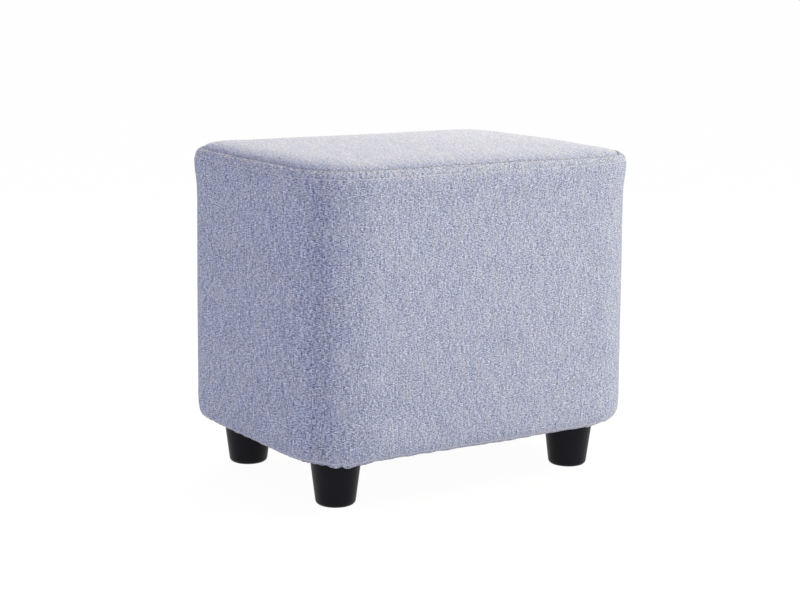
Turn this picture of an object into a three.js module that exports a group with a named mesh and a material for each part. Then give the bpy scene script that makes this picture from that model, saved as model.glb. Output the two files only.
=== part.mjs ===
// A padded footstool: a soft rectangular body in a sewn cloth cover, on four tapered feet.
// Millimetres, +Z up, +X along the long side, -Y at the front, origin on the floor under the middle.
import * as THREE from "three";

// The whole stool
const totalHeight = 345;
const coverLength = 398; // along X, at the hem
const coverDepth = 301; // along Y, at the hem
const cornerRadius = 68; // of the upright corners, in plan
const sideLean = 1.9; // how far each side comes in between the hem and the seam
const pieceGap = 0.3; // between pieces that touch

// Soft unevenness of the sides
const longSideBow = 1.5; // swell in the middle of the front and back
const shortSideBow = 1;
const midSideRidge = 1.6; // how far the sewn edge stands out, halfway along a side

// The crowned top
const edgeHeight = 332.2; // where the top turns down into the sides
const shoulderRise = 4.2;
const shoulderWidth = 45.6;
const shoulderPower = 1.88;
const crownPower = 2.03;
const crownRise = totalHeight - edgeHeight - shoulderRise;
const plumpEdge = 7; // how quickly a plump side's shoulder swells, inwards from the seam
const plumpReach = 46; // how far inwards the swelling lasts
const seamInset = 6; // from the edge in to the seam between the top panel and the side band
const seamRidge = 0.2; // share of the sewn edge's stand-out that is left at the seam
const panelInsets = [8.5, 12, 17, 24, 34, 46, 60]; // rings of the top panel, measured in from the edge
const innerScales = [0.66, 0.33]; // rings nearer the middle, as shares of the last inset one

// Under the body
const hemHeight = 52.6; // underside of the cloth between its gathers
const hemTurn = 20; // width of cloth turned in under the body
const boardUnderside = 59;
const boardThickness = 12;
const boardInset = 9;

// The feet
const footTopRadius = 27;
const footBottomRadius = 19.6;
const footEdgeRadius = 4;
const footInsetX = 55.5; // foot's axis, in from the cover's side
const footInsetY = 59.1;

// Steps of the faceted surfaces
const arcSteps = 20;
const longRunSteps = 7;
const shortRunSteps = 5;
const footSides = 40;
const footEdgeSteps = 4;

// Corners, anticlockwise from above. ridge: how far the sewn edge stands out there.
// rise: how much fuller or flatter than the rest the top is there. lift: how far the hem is drawn up.
// plump: how far the top's shoulder swells along the side that follows the corner.
const corners = [
  { name: "front_left", x: -1, y: -1, ridge: 2.2, rise: 0, lift: 0, plump: 2 },
  { name: "front_right", x: 1, y: -1, ridge: 2.6, rise: -1.6, lift: 4, plump: 0 },
  { name: "back_right", x: 1, y: 1, ridge: 2.2, rise: -0.4, lift: 0.8, plump: 0 },
  { name: "back_left", x: -1, y: 1, ridge: 2.6, rise: 0.8, lift: 0.6, plump: 5.2 },
];

// Scallops of the gathered hem: degrees along the corner's arc, and how far each one hangs down.
const scallops = [
  { corner: "front_left", from: 12, to: 30, drop: 1.2 },
  { corner: "front_left", from: 30, to: 46, drop: 2.2 },
  { corner: "front_left", from: 46, to: 59, drop: 3.9 },
  { corner: "front_left", from: 59, to: 73, drop: 4.2 },
  { corner: "front_left", from: 73, to: 90, drop: 1 },
  { corner: "front_right", from: 10, to: 36, drop: 1.2 },
  { corner: "front_right", from: 36, to: 58, drop: 1.6 },
  { corner: "front_right", from: 58, to: 82, drop: 1.1 },
  { corner: "back_right", from: 8, to: 30, drop: 1.5 },
  { corner: "back_right", from: 30, to: 54, drop: 2 },
  { corner: "back_right", from: 54, to: 80, drop: 1.3 },
  { corner: "back_left", from: 14, to: 38, drop: 1.3 },
  { corner: "back_left", from: 38, to: 60, drop: 1.8 },
  { corner: "back_left", from: 60, to: 84, drop: 1.4 },
];

// The pocket in the body's underside that the board sits in
const pocketFloor = boardUnderside - pieceGap;
const pocketCeiling = boardUnderside + boardThickness + pieceGap;
const pocketInset = boardInset - pieceGap;

// Sections of the side band from its seam down, round the hem and into the seat of the board.
// z: height. inset: in from the side's own line. ridge: share of the sewn edge's stand-out.
// rise: share of the corners' fullness. gather: share of the hem's scallops.
const bandSections = [
  { z: 333.2, inset: 3.5, ridge: 0.3, rise: 0.8, gather: 0 },
  { z: 330.8, inset: 1.7, ridge: 0.5, rise: 0.5, gather: 0 },
  { z: 327.4, inset: 0.5, ridge: 0.85, rise: 0.2, gather: 0 },
  { z: 323, inset: 0, ridge: 1, rise: 0, gather: 0 },
  { z: 317, inset: 0, ridge: 0.92, rise: 0, gather: 0 },
  { z: 311, inset: 0, ridge: 0.72, rise: 0, gather: 0 },
  { z: 305, inset: 0, ridge: 0.4, rise: 0, gather: 0 },
  { z: 298, inset: 0, ridge: 0.14, rise: 0, gather: 0 },
  { z: 286, inset: 0, ridge: 0, rise: 0, gather: 0 },
  { z: 230, inset: 0, ridge: 0, rise: 0, gather: 0 },
  { z: 170, inset: 0, ridge: 0, rise: 0, gather: 0 },
  { z: 110, inset: 0, ridge: 0, rise: 0, gather: 0 },
  { z: 74, inset: 0, ridge: 0, rise: 0, gather: 0.1 },
  { z: 63, inset: 0.9, ridge: 0, rise: 0, gather: 0.4 },
  { z: 56.6, inset: 2.8, ridge: 0, rise: 0, gather: 0.8 },
  { z: 53.2, inset: 6, ridge: 0, rise: 0, gather: 1 },
  { z: hemHeight, inset: 10, ridge: 0, rise: 0, gather: 0.9 },
  { z: 53.5, inset: 16, ridge: 0, rise: 0, gather: 0.5 },
  { z: 54.6, inset: hemTurn, ridge: 0, rise: 0, gather: 0 },
  { z: pocketFloor, inset: hemTurn, ridge: 0, rise: 0, gather: 0 },
  { z: pocketFloor, inset: pocketInset, ridge: 0, rise: 0, gather: 0 },
  { z: pocketCeiling, inset: pocketInset, ridge: 0, rise: 0, gather: 0 },
];

const halfLength = coverLength / 2;
const halfDepth = coverDepth / 2;

// Height of the top at a distance in from its edge: a soft shoulder on a shallow crown.
function topHeight(inset) {
  const shoulder = 1 - Math.max(0, 1 - inset / shoulderWidth) ** shoulderPower;
  const crown = 1 - Math.max(0, 1 - inset / halfDepth) ** crownPower;
  return edgeHeight + shoulderRise * shoulder ** (1 / shoulderPower) + crownRise * crown;
}

// Share of a plump shoulder's swelling at a distance in from the seam.
function swell(inwards) {
  const distance = Math.max(0, inwards);
  return (1 - Math.exp(-distance / plumpEdge)) * Math.exp(-((distance / plumpReach) ** 2));
}

// How far the hem hangs down at an angle along a corner's arc.
function scallopDrop(corner, degrees) {
  const own = scallops.find((s) => s.corner === corner.name && degrees > s.from && degrees < s.to);
  return own ? own.drop * Math.sin((Math.PI * (degrees - own.from)) / (own.to - own.from)) : 0;
}

// Between two corners a value runs from one to the other, by way of its own value halfway.
function alongRun(from, middle, to, share) {
  const weight = Math.sin(Math.PI * share) ** 2;
  return (1 - weight) * THREE.MathUtils.lerp(from, to, share) + weight * middle;
}

// Stations round the stool at the hem's size, anticlockwise: each corner's arc, then the run after it.
function makeStations() {
  const stations = [];
  corners.forEach((corner, index) => {
    const next = corners[(index + 1) % corners.length];
    const before = corners[(index + corners.length - 1) % corners.length];
    const isLongRun = corner.y === next.y;
    const runSteps = isLongRun ? longRunSteps : shortRunSteps;
    const bow = isLongRun ? longSideBow : shortSideBow;
    const centreX = corner.x * (halfLength - cornerRadius);
    const centreY = corner.y * (halfDepth - cornerRadius);
    for (let step = 0; step <= arcSteps; step++) {
      const degrees = (90 * step) / arcSteps;
      const angle = THREE.MathUtils.degToRad(180 + 90 * index + degrees);
      const out = new THREE.Vector2(Math.cos(angle), Math.sin(angle));
      stations.push({
        at: new THREE.Vector2(centreX, centreY).addScaledVector(out, cornerRadius),
        out,
        bow: 0,
        ridge: corner.ridge,
        rise: corner.rise,
        drop: scallopDrop(corner, degrees) - corner.lift * Math.sin(Math.PI * (degrees / 90)),
        plump: THREE.MathUtils.lerp(before.plump, corner.plump, THREE.MathUtils.smoothstep(degrees, 0, 90)),
      });
    }
    const start = stations[stations.length - 1];
    const runLength = 2 * ((isLongRun ? halfLength : halfDepth) - cornerRadius);
    const along = new THREE.Vector2(-start.out.y, start.out.x);
    for (let step = 1; step < runSteps; step++) {
      const share = step / runSteps;
      stations.push({
        at: start.at.clone().addScaledVector(along, runLength * share),
        out: start.out,
        bow: bow * Math.sin(Math.PI * share) ** 2,
        ridge: alongRun(corner.ridge, midSideRidge, next.ridge, share),
        rise: alongRun(corner.rise, 0, next.rise, share),
        drop: 0,
        plump: corner.plump,
      });
    }
  });
  return stations;
}

const stations = makeStations();

// One ring of points round the stool at a height, in from the side's line by inset.
function makeRing({ z, inset, ridge = 0, gather = 0, rise = 0, bow = 1 }) {
  const lean = (sideLean * THREE.MathUtils.clamp(z - hemHeight, 0, edgeHeight - hemHeight)) /
    (edgeHeight - hemHeight);
  return stations.map((station) => {
    const outwards = station.bow * bow + station.ridge * ridge - inset - lean;
    const point = station.at.clone().addScaledVector(station.out, outwards);
    return new THREE.Vector3(point.x, point.y, z + station.rise * rise - station.drop * gather);
  });
}

// A closed body through rings from the top of its profile to the end, each end closed to a point.
function loftRings(rings, topMiddle, lastMiddle) {
  const count = stations.length;
  const positions = [...rings.flat(), topMiddle, lastMiddle].flatMap((p) => p.toArray());
  const topIndex = rings.length * count;
  const lastIndex = topIndex + 1;
  const lastRing = (rings.length - 1) * count;
  const index = [];
  for (let side = 0; side < count; side++) {
    const next = (side + 1) % count;
    index.push(topIndex, side, next);
    for (let ring = 0; ring < rings.length - 1; ring++) {
      const upper = ring * count;
      const lower = upper + count;
      index.push(upper + side, lower + side, lower + next);
      index.push(upper + side, lower + next, upper + next);
    }
    index.push(lastIndex, lastRing + next, lastRing + side);
  }
  return new THREE.BufferGeometry()
    .setAttribute("position", new THREE.Float32BufferAttribute(positions, 3))
    .setIndex(index);
}

// The seam ring, which ends the side band and, lifted by the gap, the top panel.
function makeSeamRing(lift) {
  const ring = makeRing({ z: topHeight(seamInset), inset: seamInset, ridge: seamRidge, rise: 1 });
  ring.forEach((point) => (point.z += lift));
  return ring;
}

// Lifts a ring of the top panel where its side is plump.
function swellRing(ring, inset) {
  ring.forEach((point, side) => (point.z += stations[side].plump * swell(inset - seamInset)));
  return ring;
}

function topPanelGeometry() {
  const inwards = panelInsets.map((inset) =>
    swellRing(makeRing({ z: topHeight(inset), inset, rise: (1 - inset / halfDepth) ** 2 }), inset),
  );
  const innermost = inwards[inwards.length - 1];
  const lastInset = panelInsets[panelInsets.length - 1];
  const middleRings = innerScales.map((scale) => {
    const inset = halfDepth - (halfDepth - lastInset) * scale;
    const riseLeft = 1 - inset / halfDepth;
    const ring = innermost.map((point, side) =>
      new THREE.Vector3(
        point.x * scale, point.y * scale, topHeight(inset) + stations[side].rise * riseLeft ** 2,
      ),
    );
    return swellRing(ring, inset);
  });
  const rings = [...middleRings.reverse(), ...inwards.reverse(), makeSeamRing(pieceGap)];
  const underside = new THREE.Vector3(0, 0, topHeight(seamInset) + pieceGap);
  return loftRings(rings, new THREE.Vector3(0, 0, totalHeight), underside);
}

function sideBandGeometry() {
  const rings = bandSections.map((section) => makeRing(section));
  const seamMiddle = new THREE.Vector3(0, 0, topHeight(seamInset));
  return loftRings([makeSeamRing(0), ...rings], seamMiddle, new THREE.Vector3(0, 0, pocketCeiling));
}

// A rounded rectangle in plan, extruded upwards.
function baseBoardGeometry() {
  const x = halfLength - boardInset;
  const y = halfDepth - boardInset;
  const radius = cornerRadius - boardInset;
  const outline = new THREE.Shape();
  outline.absarc(x - radius, y - radius, radius, 0, Math.PI / 2);
  outline.absarc(radius - x, y - radius, radius, Math.PI / 2, Math.PI);
  outline.absarc(radius - x, radius - y, radius, Math.PI, 1.5 * Math.PI);
  outline.absarc(x - radius, radius - y, radius, 1.5 * Math.PI, 2 * Math.PI);
  const settings = { depth: boardThickness, bevelEnabled: false, curveSegments: arcSteps };
  return new THREE.ExtrudeGeometry(outline, settings);
}

// A tapered round foot with a soft lower edge, standing on z = 0.
function footGeometry() {
  const height = boardUnderside - pieceGap;
  const profile = [new THREE.Vector2(0, 0)];
  for (let step = 0; step <= footEdgeSteps; step++) {
    const angle = ((Math.PI / 2) * step) / footEdgeSteps;
    const across = footBottomRadius - footEdgeRadius * (1 - Math.sin(angle));
    profile.push(new THREE.Vector2(across, footEdgeRadius * (1 - Math.cos(angle))));
  }
  profile.push(new THREE.Vector2(footTopRadius, height));
  profile.push(new THREE.Vector2(0, height));
  return new THREE.LatheGeometry(profile, footSides).rotateX(Math.PI / 2);
}

const coverCloth = new THREE.MeshStandardMaterial({ color: 0xa9acc0, roughness: 0.95, metalness: 0 });
const bareBoard = new THREE.MeshStandardMaterial({ color: 0x9c7b57, roughness: 0.8, metalness: 0 });
const blackPlastic = new THREE.MeshStandardMaterial({ color: 0x141417, roughness: 0.4, metalness: 0 });

function addPiece(group, name, geometry, material) {
  const mesh = new THREE.Mesh(geometry, material.clone());
  mesh.name = name;
  group.add(mesh);
  return mesh;
}

const footstool = new THREE.Group();
addPiece(footstool, "top_panel", topPanelGeometry(), coverCloth);
addPiece(footstool, "side_band", sideBandGeometry(), coverCloth);
addPiece(footstool, "base_board", baseBoardGeometry(), bareBoard).position.z = boardUnderside;

const feet = new THREE.Group();
corners.forEach((corner) => {
  const foot = addPiece(feet, `foot_${corner.name}`, footGeometry(), blackPlastic);
  foot.position.set(corner.x * (halfLength - footInsetX), corner.y * (halfDepth - footInsetY), 0);
});
footstool.add(feet);

export default footstool;
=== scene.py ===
"""A padded footstool in a fitted cloth cover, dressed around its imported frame.

Metres, +Z up, +X along the long side, -Y at the front, origin on the floor under the middle.
"""

import logging
import math
from collections.abc import Sequence
from dataclasses import dataclass, field
from enum import Enum
from typing import Any

import bpy
import numpy as np
from mathutils import Matrix, Quaternion, Vector


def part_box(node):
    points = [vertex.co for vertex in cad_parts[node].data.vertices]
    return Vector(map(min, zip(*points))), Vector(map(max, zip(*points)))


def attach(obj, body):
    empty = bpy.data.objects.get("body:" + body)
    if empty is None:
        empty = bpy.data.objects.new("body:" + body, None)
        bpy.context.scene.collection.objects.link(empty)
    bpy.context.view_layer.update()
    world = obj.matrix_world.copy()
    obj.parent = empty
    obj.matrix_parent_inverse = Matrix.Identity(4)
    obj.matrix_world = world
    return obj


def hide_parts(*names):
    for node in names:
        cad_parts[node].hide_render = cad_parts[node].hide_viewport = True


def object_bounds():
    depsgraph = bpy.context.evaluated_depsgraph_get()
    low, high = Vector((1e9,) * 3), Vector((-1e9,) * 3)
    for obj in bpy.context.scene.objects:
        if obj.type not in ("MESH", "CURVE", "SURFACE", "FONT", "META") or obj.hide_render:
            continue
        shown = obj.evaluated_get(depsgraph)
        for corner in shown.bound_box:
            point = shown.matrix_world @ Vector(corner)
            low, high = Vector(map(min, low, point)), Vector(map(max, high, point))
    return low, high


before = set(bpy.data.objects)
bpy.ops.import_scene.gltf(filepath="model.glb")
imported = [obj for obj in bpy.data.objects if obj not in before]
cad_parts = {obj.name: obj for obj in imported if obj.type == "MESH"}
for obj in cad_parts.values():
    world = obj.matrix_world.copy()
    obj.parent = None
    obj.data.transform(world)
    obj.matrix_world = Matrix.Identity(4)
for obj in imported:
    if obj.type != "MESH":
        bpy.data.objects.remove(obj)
cad_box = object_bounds()

MM = 0.001
CLOTH_MAP = "cloth"
STOOL_BODY = "root"

Array = np.ndarray
Colour = tuple[float, float, float]

log = logging.getLogger("footstool")


class Slot(Enum):
    """The names of the record's material slots for the new pieces."""

    COVER_CLOTH = "cover_cloth"
    FOOT_PLASTIC = "foot_plastic"


# ---------------------------------------------------------------------------
# Node trees
# ---------------------------------------------------------------------------


class Amount:
    """A number socket that takes part in plain arithmetic."""

    def __init__(self, nodes: "NodeMaker", socket: bpy.types.NodeSocket) -> None:
        """Keep the socket and the maker of its tree."""
        self.nodes = nodes
        self.socket = socket

    def __add__(self, other: Any) -> "Amount":
        """Sum."""
        return self.nodes.maths("ADD", self, other)

    __radd__ = __add__

    def __sub__(self, other: Any) -> "Amount":
        """Difference."""
        return self.nodes.maths("SUBTRACT", self, other)

    def __rsub__(self, other: Any) -> "Amount":
        """Difference, the other way round."""
        return self.nodes.maths("SUBTRACT", other, self)

    def __mul__(self, other: Any) -> "Amount":
        """Product."""
        return self.nodes.maths("MULTIPLY", self, other)

    def __truediv__(self, other: Any) -> "Amount":
        """Quotient."""
        return self.nodes.maths("DIVIDE", self, other)

    def __pow__(self, power: float) -> "Amount":
        """Power."""
        return self.nodes.maths("POWER", self, power)

    def whole(self) -> "Amount":
        """Round down."""
        return self.nodes.maths("FLOOR", self)

    def part(self) -> "Amount":
        """Return what is left after rounding down."""
        return self.nodes.maths("FRACT", self)

    def size(self) -> "Amount":
        """Drop the sign."""
        return self.nodes.maths("ABSOLUTE", self)

    def kept(self) -> "Amount":
        """Hold the value between 0 and 1."""
        return self.nodes.maths("ADD", self, 0.0, {"use_clamp": True})

    def near(self, width: float, flat: float) -> "Amount":
        """Return 1 within flat widths of 0, falling to 0 over one more width."""
        return (1 + flat - (self / width).size()).kept()


class NodeMaker:
    """Adds nodes to one shader or geometry tree."""

    def __init__(self, tree: bpy.types.NodeTree) -> None:
        """Keep the tree."""
        self.tree = tree

    def add(
        self,
        kind: str,
        settings: dict[str, Any] | None = None,
        inputs: dict[str | int, Any] | None = None,
    ) -> bpy.types.Node:
        """Add one node.

        Args:
            kind: The node's type.
            settings: Its properties, set first; "stops" are a ramp's places and colours.
            inputs: Values or links, by the socket's name or number.

        Returns:
            The new node.
        """
        node = self.tree.nodes.new(kind)
        for name, value in (settings or {}).items():
            if name == "stops":
                self._set_stops(node, value)
            else:
                setattr(node, name, value)
        for key, value in (inputs or {}).items():
            self.feed(node.inputs[key], value)
        return node

    @staticmethod
    def _set_stops(node: bpy.types.Node, stops: Sequence[tuple[float, Colour]]) -> None:
        """Give a ramp its stops, as places and colours."""
        elements = node.color_ramp.elements
        while len(elements) < len(stops):
            elements.new(1.0)
        for element, (place, colour) in zip(elements, stops):
            element.position = place
            element.color = (*colour, 1.0)

    def feed(self, socket: bpy.types.NodeSocket, value: Any) -> None:
        """Link a socket or an amount, or set a plain value."""
        if isinstance(value, Amount):
            value = value.socket
        if isinstance(value, bpy.types.NodeSocket):
            self.tree.links.new(value, socket)
        else:
            socket.default_value = value

    def amount(self, node: bpy.types.Node, output: str | int = 0) -> Amount:
        """Return a node's output as an amount."""
        return Amount(self, node.outputs[output])

    def maths(
        self,
        operation: str,
        first: Any,
        second: Any = None,
        settings: dict[str, Any] | None = None,
    ) -> Amount:
        """Add a Math node.

        Args:
            operation: What it does.
            first: Its first value.
            second: Its second value, if it takes one.
            settings: Its other properties.

        Returns:
            The result.
        """
        inputs: dict[str | int, Any] = {0: first}
        if second is not None:
            inputs[1] = second
        node = self.add("ShaderNodeMath", {"operation": operation, **(settings or {})}, inputs)
        return self.amount(node)

    def point(self, x: Any, y: Any = 0.0, z: Any = 0.0) -> bpy.types.NodeSocket:
        """Join three numbers into a vector."""
        return self.add("ShaderNodeCombineXYZ", None, {0: x, 1: y, 2: z}).outputs[0]

    def noise(self, vector: Any, scale: float, detail: float = 2.0, roughness: float = 0.5) -> Amount:
        """Return soft noise between 0 and 1 at a vector.

        Args:
            vector: Where it is read.
            scale: Its scale.
            detail: Its number of octaves.
            roughness: How strong the finer octaves are.

        Returns:
            The noise.
        """
        inputs = {"Vector": vector, "Scale": scale, "Detail": detail, "Roughness": roughness}
        return self.amount(self.add("ShaderNodeTexNoise", None, inputs))

    def mixed(self, share: Any, first: Any, second: Any, blend: str = "MIX") -> bpy.types.NodeSocket:
        """Mix two colours.

        Args:
            share: How much of the second.
            first: A colour or its socket.
            second: A colour or its socket.
            blend: The way they are mixed.

        Returns:
            The mixed colour.
        """
        settings = {"data_type": "RGBA", "blend_type": blend}
        inputs = {0: share, 6: self._whole_colour(first), 7: self._whole_colour(second)}
        return self.add("ShaderNodeMix", settings, inputs).outputs[2]

    @staticmethod
    def _whole_colour(value: Any) -> Any:
        """Give a plain colour its fourth number."""
        return (*value, 1.0) if isinstance(value, tuple) else value


def fresh_nodes(owner: bpy.types.Material | bpy.types.World) -> NodeMaker:
    """Clear the tree of a material or a world and return its maker."""
    owner.use_nodes = True
    owner.node_tree.nodes.clear()
    return NodeMaker(owner.node_tree)


def put_in_scene(name: str, data: bpy.types.ID) -> bpy.types.Object:
    """Make an object of a mesh, a lamp or a camera and put it in the scene."""
    made = bpy.data.objects.new(name, data)
    bpy.context.scene.collection.objects.link(made)
    return made


def new_material(name: str) -> tuple[bpy.types.Material, NodeMaker, bpy.types.Node]:
    """Start a material.

    Args:
        name: Its name.

    Returns:
        The material, the maker of its tree and its Principled shader.
    """
    material = bpy.data.materials.new(name)
    nodes = fresh_nodes(material)
    shader = nodes.add("ShaderNodeBsdfPrincipled")
    nodes.add("ShaderNodeOutputMaterial", None, {"Surface": shader.outputs["BSDF"]})
    return material, nodes, shader


# ---------------------------------------------------------------------------
# Finishes
# ---------------------------------------------------------------------------


@dataclass(frozen=True)
class WovenCloth:
    """Plain weave in uneven yarns, pale periwinkle with grey and dark flecks.

    pitch is the yarns' spacing, and they wander a little over drift_reach. Beads are the rounded
    crossings, slubs the thick stretches of a yarn, and pairs of warp yarns thicken together.
    Patches and streaks vary the tone over longer stretches, and hue patches the greyness. upright
    slows both kinds of patch down the cloth. The cloth is greyer where it is drawn in below the
    seam. Shade is painted on it as darker tone at the seam and in the corner's upright crease, and a
    painted highlight runs as a paler line along the hem's fold. soft_flat and sharp_flat are the
    even middles of those marks, in shares of their widths.
    """

    name: str = "linen_look_cloth"
    contrast: float = 0.93
    pitch: float = 0.62 * MM
    drift_reach: float = 14 * MM
    bead_power: float = 2.4
    painted_bead_shade: float = 0.12
    slub_pitch: float = 0.95 * MM
    pair_pitch: float = 2.09 * MM
    pair_share: float = 0.6
    warp_slub: float = 5.0 * MM
    weft_slub: float = 2.3 * MM
    evenness: float = 0.8
    yarn_step: float = 7.13
    mean_bead: float = 0.7
    upright: float = 0.6
    patch: float = 24 * MM
    patch_contrast: float = 0.08
    hue_patch: float = 9 * MM
    hue_start: float = 0.4
    hue_gain: float = 2.2
    hue_narrowing: float = 1.7
    hue_layer: float = 3.0
    streak_width: float = 1.9 * MM
    streak_length: float = 24 * MM
    streak_contrast: float = 0.34
    wander: float = 0.3
    warp_contrast: float = 0.6
    weft_contrast: float = 0.95
    fleck_contrast: float = 0.45
    deep: Colour = (0.090, 0.108, 0.215)
    middle: Colour = (0.378, 0.419, 0.580)
    pale: Colour = (0.800, 0.835, 0.94)
    grey: Colour = (0.425, 0.445, 0.530)
    # A painted highlight: a paler line along the hem's fold.
    painted_rim_light: Colour = (0.66, 0.64, 0.72)
    rim_light_width: float = 0.9 * MM
    rim_light_share: float = 0.6
    soft_flat: float = 0.5
    sharp_flat: float = 0.6
    # A painted shade: darker tone in the corner's upright crease.
    crease_width: float = 8 * MM
    painted_crease_shade: float = 0.07
    greyness: float = 0.0
    drawn_width: float = 11 * MM
    drawn_grey: float = 0.45
    # A painted shade: darker, streaky tone along the seam.
    seam_width: float = 2.0 * MM
    painted_seam_shade: float = 0.3
    sheen: float = 0.025
    roughness: float = 0.92
    thread_height: float = 0.12 * MM

    def material(self, fold: float, crease: float) -> bpy.types.Material:
        """Make the material, which follows the cloth map of each piece.

        Args:
            fold: How far down the cloth the hem turns under, along which a highlight is painted.
            crease: How far across the cloth a corner's upright crease lies, where shade is painted.

        Returns:
            The material.
        """
        material, nodes, shader = new_material(self.name)
        place = nodes.add("ShaderNodeUVMap", {"uv_map": CLOTH_MAP}).outputs[0]
        axes = nodes.add("ShaderNodeSeparateXYZ", None, {0: place})
        across, down = nodes.amount(axes, 0), nodes.amount(axes, 1)
        drift = nodes.noise(place, 1 / self.drift_reach, 1.0) - 0.5
        warp = across / self.pitch + drift * self.wander
        weft = down / self.pitch - drift * self.wander
        tone, relief = self._weave(nodes, warp, weft, across, down)
        patches = nodes.noise(nodes.point(across, down * self.upright), 1 / self.patch, 2.0)
        streaks = nodes.noise(nodes.point(across / self.streak_width, down / self.streak_length), 1.0, 1.0)
        tone = tone + (patches - 0.5) * self.patch_contrast + (streaks - 0.5) * self.streak_contrast
        # Painted shade: darker tone in the corner's upright crease.
        crease_shade_mask = (across - crease).near(self.crease_width, self.soft_flat)
        # Painted shade: darker, streaky tone along the seam, where the seam's fold lies in shadow.
        seam_shade_mask = down.near(self.seam_width, self.sharp_flat)
        # shade holds both marks of painted shade, in the crease and along the seam.
        shade = crease_shade_mask * self.painted_crease_shade + seam_shade_mask * (streaks * self.painted_seam_shade * 2.0)
        tone = (0.5 + tone * self.contrast - shade).kept()
        stops = ((0.0, self.deep), (0.5, self.middle), (1.0, self.pale))
        colour = nodes.add("ShaderNodeValToRGB", {"stops": stops}, {0: tone}).outputs[0]
        hue_place = nodes.point(across * self.hue_narrowing, down * self.upright, self.hue_layer)
        hue = nodes.noise(hue_place, 1 / self.hue_patch, 1.0)
        greyed = nodes.mixed(1.0, colour, self.grey, "COLOR")
        drawn = down.near(self.drawn_width, self.soft_flat)
        greying = (hue - self.hue_start) * self.hue_gain + drawn * self.drawn_grey + self.greyness
        colour = nodes.mixed(greying.kept(), colour, greyed)
        # Painted highlight: a paler line along the hem's fold, where the fold would catch light from the
        # floor.
        rim_light_mask = (down - fold).near(self.rim_light_width, self.sharp_flat)
        colour = nodes.mixed(rim_light_mask * self.rim_light_share, colour, self.painted_rim_light)
        bump = nodes.add(
            "ShaderNodeBump", None, {"Strength": 0.5, "Distance": self.thread_height, "Height": relief}
        )
        nodes.feed(shader.inputs["Base Color"], colour)
        nodes.feed(shader.inputs["Normal"], bump.outputs[0])
        shader.inputs["Roughness"].default_value = self.roughness
        shader.inputs["Specular IOR Level"].default_value = 0.05
        shader.inputs["Sheen Weight"].default_value = self.sheen
        shader.inputs["Sheen Roughness"].default_value = 0.45
        return material

    def _weave(
        self, nodes: NodeMaker, warp: Amount, weft: Amount, across: Amount, down: Amount
    ) -> tuple[Amount, Amount]:
        """Work out the tone and the height of the yarns.

        Args:
            nodes: The maker of the material's tree.
            warp: The number of yarns across.
            weft: The number of yarns down.
            across: The place across, in metres.
            down: The place down, in metres.

        Returns:
            The tone, about 0, and the height, from 0 to 1.
        """
        warp_yarn, weft_yarn = warp.whole(), weft.whole()
        over = ((warp_yarn + weft_yarn) * 0.5).part() * 2.0
        across_yarn = ((warp.part() - 0.5) * 2.0).size()
        down_yarn = ((weft.part() - 0.5) * 2.0).size()
        rounded = 1 - (across_yarn * over + down_yarn * (1 - over)) ** self.bead_power
        thick_warp = self._slubs(nodes, across / self.slub_pitch, down / self.warp_slub, 0.0)
        pairs = self._slubs(nodes, across / self.pair_pitch, down / self.warp_slub, 20.0)
        thick_warp = thick_warp + pairs * self.pair_share
        thick_weft = self._slubs(nodes, down / self.slub_pitch, across / self.weft_slub, 40.0)
        cell = nodes.amount(
            nodes.add(
                "ShaderNodeTexWhiteNoise",
                {"noise_dimensions": "2D"},
                {"Vector": nodes.point(warp_yarn, weft_yarn)},
            )
        )
        tone = thick_warp * self.warp_contrast + thick_weft * self.weft_contrast
        tone = tone + (cell - 0.5) * self.fleck_contrast
        # Painted shade between the yarns: each yarn is darker at its edges and paler on its crown.
        tone = tone + (rounded - self.mean_bead) * self.painted_bead_shade
        return tone, rounded

    def _slubs(self, nodes: NodeMaker, yarn: Amount, along: Amount, start: float) -> Amount:
        """Return how much paler a thick yarn is than the one beside it.

        Args:
            nodes: The maker of the material's tree.
            yarn: The number of thick yarns crossed.
            along: The number of slubs passed along the yarn.
            start: Where in the noise this set of yarns starts.

        Returns:
            The difference, about 0.
        """
        index = yarn.whole()
        here = nodes.noise(nodes.point(index * self.yarn_step, along, start), 1.0, 0.0)
        beside = nodes.noise(nodes.point((index + 1) * self.yarn_step, along, start), 1.0, 0.0)
        return (here - 0.5) - (beside - 0.5) * self.evenness


@dataclass(frozen=True)
class SpunThread:
    """The pale sewing thread of the topstitching."""

    name: str = "sewing_thread"
    colour: Colour = (0.92, 0.92, 0.95)
    shade: Colour = (0.36, 0.38, 0.48)
    twist_length: float = 3.5 * MM
    twist_depth: float = 0.08 * MM

    def material(self) -> bpy.types.Material:
        """Make the material."""
        material, nodes, shader = new_material(self.name)
        place = nodes.add("ShaderNodeTexCoord").outputs["Object"]
        twist = nodes.noise(place, 1 / self.twist_length, 2.0, 0.7)
        nodes.feed(shader.inputs["Base Color"], nodes.mixed(twist, self.colour, self.shade))
        bump = nodes.add("ShaderNodeBump", None, {"Distance": self.twist_depth, "Height": twist})
        nodes.feed(shader.inputs["Normal"], bump.outputs[0])
        shader.inputs["Roughness"].default_value = 0.7
        return material


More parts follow.
